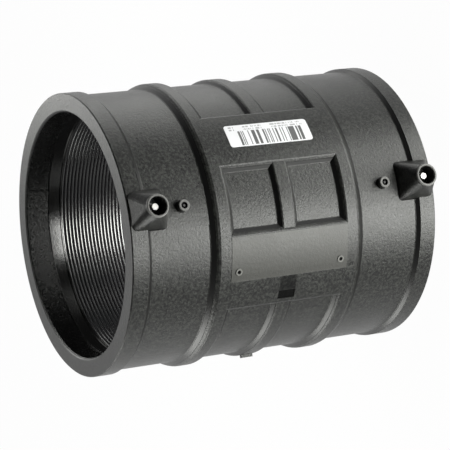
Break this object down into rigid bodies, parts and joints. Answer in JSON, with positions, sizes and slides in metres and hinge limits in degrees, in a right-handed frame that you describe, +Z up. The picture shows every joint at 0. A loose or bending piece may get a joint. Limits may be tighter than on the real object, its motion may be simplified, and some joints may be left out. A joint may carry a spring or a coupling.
{
  "type": "electrofusion coupler",
  "caption": "Black polyethylene sleeve coupler that welds two 250 mm pipes end to end, with heating wire in its bore, shrouded terminals and pocketed middle.",
  "frame": {"origin": "centre of the lower end face, on the bore's axis", "axes": "+Z up the bore's axis, -Y out through both terminals"},
  "size_m": [0.2998, 0.3217, 0.348],
  "materials": {
    "moulded_polyethylene": "black, fine spark-eroded texture",
    "wire_coating": "black, glossy, one ridge for each turn",
    "pin_metal": "bright plated",
    "indicator_polyethylene": "black, smooth",
    "label_paper": "white, with plain black bars"
  },
  "bodies": {
    "root": {"coupler_body": "moulded_polyethylene", "heating_wire": "wire_coating", "lower_terminal_pin": "pin_metal", "upper_terminal_pin": "pin_metal", "lower_fusion_indicator": "indicator_polyethylene", "upper_fusion_indicator": "indicator_polyethylene", "barcode_label": "label_paper"}
  },
  "joints": []
}
